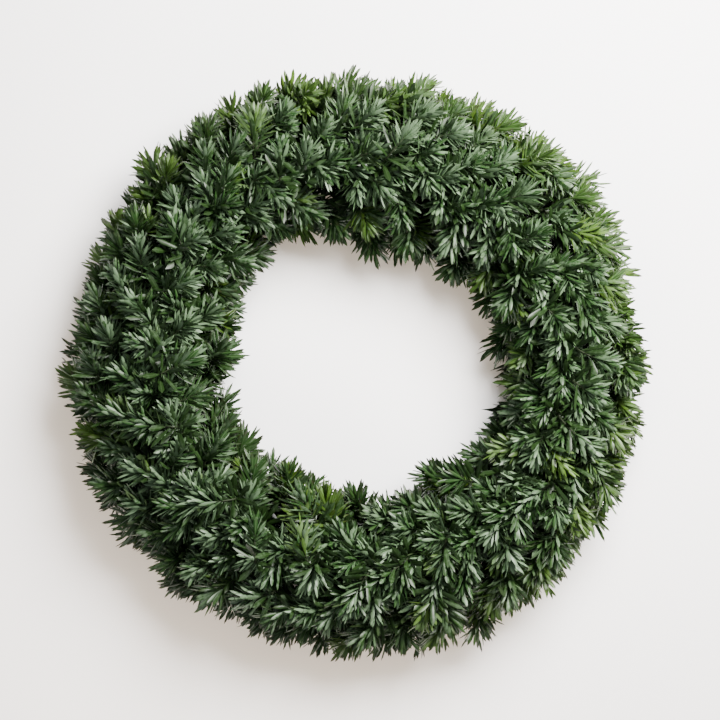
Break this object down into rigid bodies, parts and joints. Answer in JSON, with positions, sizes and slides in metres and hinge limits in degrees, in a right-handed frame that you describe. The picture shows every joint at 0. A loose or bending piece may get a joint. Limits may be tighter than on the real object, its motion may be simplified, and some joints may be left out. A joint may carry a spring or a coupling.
{
  "type": "evergreen wreath",
  "caption": "Round wreath of dense flat-needled conifer sprays bound with wire on a ring frame, lying on its back",
  "frame": {"origin": "Middle of the wreath's back, at the height of the frame's feet, which rest on the surface", "axes": "+Z is the wreath's axis and points out of its front. +Y is the top of the wreath as it hangs on a wall, and +X is its right as seen from the front"},
  "size_m": [0.6046, 0.6095, 0.1328],
  "materials": {
    "foliage": "satin",
    "frame_wire": "satin",
    "binding_wire": "satin"
  },
  "bodies": {
    "root": {"wire_frame": "frame_wire", "binding_wire": "binding_wire", "spray_outer_01": "foliage", "spray_outer_02": "foliage", "spray_outer_03": "foliage", "spray_outer_04": "foliage", "spray_outer_05": "foliage", "spray_outer_06": "foliage", "spray_outer_07": "foliage", "spray_outer_08": "foliage", "spray_outer_09": "foliage", "spray_outer_10": "foliage", "spray_outer_11": "foliage", "spray_outer_12": "foliage", "spray_outer_13": "foliage", "spray_outer_14": "foliage", "spray_outer_15": "foliage", "spray_outer_16": "foliage", "spray_front_01": "foliage", "spray_front_02": "foliage", "spray_front_03": "foliage", "spray_front_04": "foliage", "spray_front_05": "foliage", "spray_front_06": "foliage", "spray_front_07": "foliage", "spray_front_08": "foliage", "spray_front_09": "foliage", "spray_front_10": "foliage", "spray_front_11": "foliage", "spray_front_12": "foliage", "spray_front_13": "foliage", "spray_front_14": "foliage", "spray_front_15": "foliage", "spray_front_16": "foliage", "spray_inner_01": "foliage", "spray_inner_02": "foliage", "spray_inner_03": "foliage", "spray_inner_04": "foliage", "spray_inner_05": "foliage", "spray_inner_06": "foliage", "spray_inner_07": "foliage", "spray_inner_08": "foliage", "spray_inner_09": "foliage", "spray_inner_10": "foliage", "spray_inner_11": "foliage", "spray_inner_12": "foliage", "spray_inner_13": "foliage", "spray_inner_14": "foliage", "spray_inner_15": "foliage", "spray_inner_16": "foliage"}
  },
  "joints": []
}
